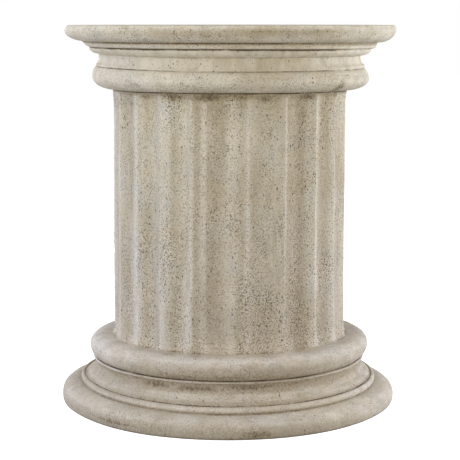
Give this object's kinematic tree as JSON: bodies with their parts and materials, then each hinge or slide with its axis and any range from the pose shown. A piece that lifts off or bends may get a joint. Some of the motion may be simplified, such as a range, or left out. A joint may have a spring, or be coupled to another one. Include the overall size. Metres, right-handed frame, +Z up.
{
  "type": "fluted column pedestal",
  "caption": "Short round fluted column pedestal of weathered cast stone, with a moulded base and a moulded capital under a flat round top.",
  "frame": {"origin": "centre of the flat underside, on the ground", "axes": "+Z up along the column's axis, -Y towards the front of the casting, +X to the right as seen from the front"},
  "size_m": [0.545, 0.545, 0.61],
  "materials": {
    "cast_stone": "matt weathered cast stone, cream on the arrises, with pits and a brown-grey wash in the hollows"
  },
  "bodies": {
    "root": {"pedestal": "cast_stone"}
  },
  "joints": []
}
